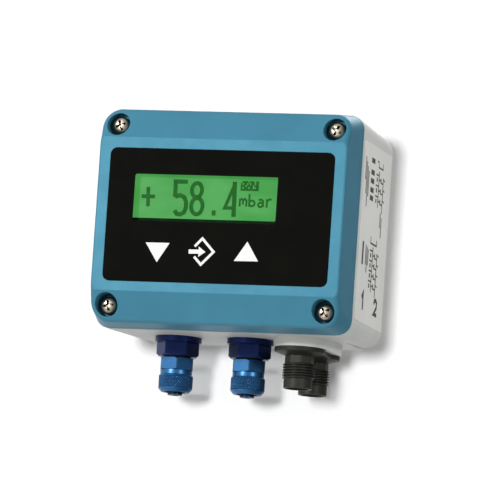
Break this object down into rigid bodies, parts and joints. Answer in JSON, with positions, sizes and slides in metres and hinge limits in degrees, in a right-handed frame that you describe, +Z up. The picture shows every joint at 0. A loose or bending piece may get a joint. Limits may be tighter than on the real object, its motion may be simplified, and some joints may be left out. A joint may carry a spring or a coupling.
{
  "type": "differential pressure transmitter",
  "caption": "Box-shaped differential pressure transmitter with a display and keys on its lid, hose fittings and round plug connectors underneath.",
  "frame": {"origin": "middle of the flat rear mounting face", "axes": "+Z up, along the longest side, with fittings and connectors pointing down; +X to the right seen from the front; the display faces -Y and +Y points into the wall behind"},
  "size_m": [0.0992, 0.063, 0.1038],
  "materials": {
    "housing_grey": "fine moulded texture",
    "lid_blue": "fine moulded texture",
    "foil_black": "satin film",
    "clear_window": "clear",
    "display_green": "backlit display glass",
    "light_guide": "translucent white",
    "board_green": "solder mask",
    "part_black": "moulded",
    "part_white": "moulded",
    "key_grey": "moulded",
    "relay_blue": "moulded",
    "steel": "bright",
    "brass": "turned",
    "gold_pin": "plated",
    "rubber_black": "matt",
    "silicone": "translucent",
    "cable_grey": "satin jacket",
    "dark_anodised": "dark blue anodised",
    "light_anodised": "light blue anodised",
    "cell_metal": "machined",
    "connector_black": "moulded",
    "label_white": "printed film"
  },
  "bodies": {
    "housing": {"board_chips": "part_black", "board_ribbon": "cable_grey", "capacitors": "steel", "connector_block": "connector_black", "connector_gasket": "rubber_black", "connector_lead_front": "cable_grey", "connector_lead_rear": "cable_grey", "connector_screw": "steel", "contact_carriers": "part_black", "contact_pins": "gold_pin", "display_backlight": "light_guide", "display_board": "board_green", "display_board_screws": "steel", "display_glass": "display_green", "fitting_seals": "rubber_black", "front_foil": "foil_black", "front_lid": "lid_blue", "hose_fitting_1": "light_anodised", "hose_fitting_2": "light_anodised", "housing_base": "housing_grey", "key_switches": "part_black", "lead_plugs": "part_white", "lead_sockets": "part_white", "lid_gasket": "rubber_black", "lid_inserts": "brass", "lid_screws": "steel", "main_board": "board_green", "main_board_screws": "steel", "mounting_inserts": "brass", "port_adapter_1": "dark_anodised", "port_adapter_2": "dark_anodised", "port_lock_nuts": "dark_anodised", "port_seals": "rubber_black", "pressure_cell": "cell_metal", "pressure_hose_1": "silicone", "pressure_hose_2": "silicone", "relays": "relay_blue", "ribbon_sockets": "part_black", "screw_seals": "rubber_black", "side_label": "label_white", "window_pane": "clear_window"},
    "key_down": {"key_plunger_down": "key_grey", "switch_button_down": "part_black"},
    "key_enter": {"key_plunger_enter": "key_grey", "switch_button_enter": "part_black"},
    "key_up": {"key_plunger_up": "key_grey", "switch_button_up": "part_black"},
    "ring_1": {"clamp_ring_1": "brass"},
    "ring_2": {"clamp_ring_2": "brass"},
    "nut_1": {"union_nut_1": "light_anodised"},
    "nut_2": {"union_nut_2": "light_anodised"}
  },
  "joints": [
    {"name": "down_press", "type": "slide", "parent": "housing", "child": "key_down", "axis": [0, 1, 0], "range_m": [0, 0.00025], "stiffness_N_per_m": 4000, "springref_m": -0.0002},
    {"name": "enter_press", "type": "slide", "parent": "housing", "child": "key_enter", "axis": [0, 1, 0], "range_m": [0, 0.00025], "stiffness_N_per_m": 4000, "springref_m": -0.0002},
    {"name": "up_press", "type": "slide", "parent": "housing", "child": "key_up", "axis": [0, 1, 0], "range_m": [0, 0.00025], "stiffness_N_per_m": 4000, "springref_m": -0.0002},
    {"name": "ring_1_travel", "type": "slide", "parent": "housing", "child": "ring_1", "axis": [0, 0, -1], "range_m": [0, 0.005]},
    {"name": "nut_1_turn", "type": "hinge", "parent": "ring_1", "child": "nut_1", "pos_m": [-0.0243, -0.023, -0.057], "axis": [0, 0, -1], "range_deg": [0, 1800]},
    {"name": "ring_2_travel", "type": "slide", "parent": "housing", "child": "ring_2", "axis": [0, 0, -1], "range_m": [0, 0.005]},
    {"name": "nut_2_turn", "type": "hinge", "parent": "ring_2", "child": "nut_2", "pos_m": [0.0038, -0.023, -0.057], "axis": [0, 0, -1], "range_deg": [0, 1800]}
  ],
  "couplings": [
    {"joint": "nut_1_turn", "follows": "ring_1_travel", "rad_per_m": 6283.2},
    {"joint": "nut_2_turn", "follows": "ring_2_travel", "rad_per_m": 6283.2}
  ]
}
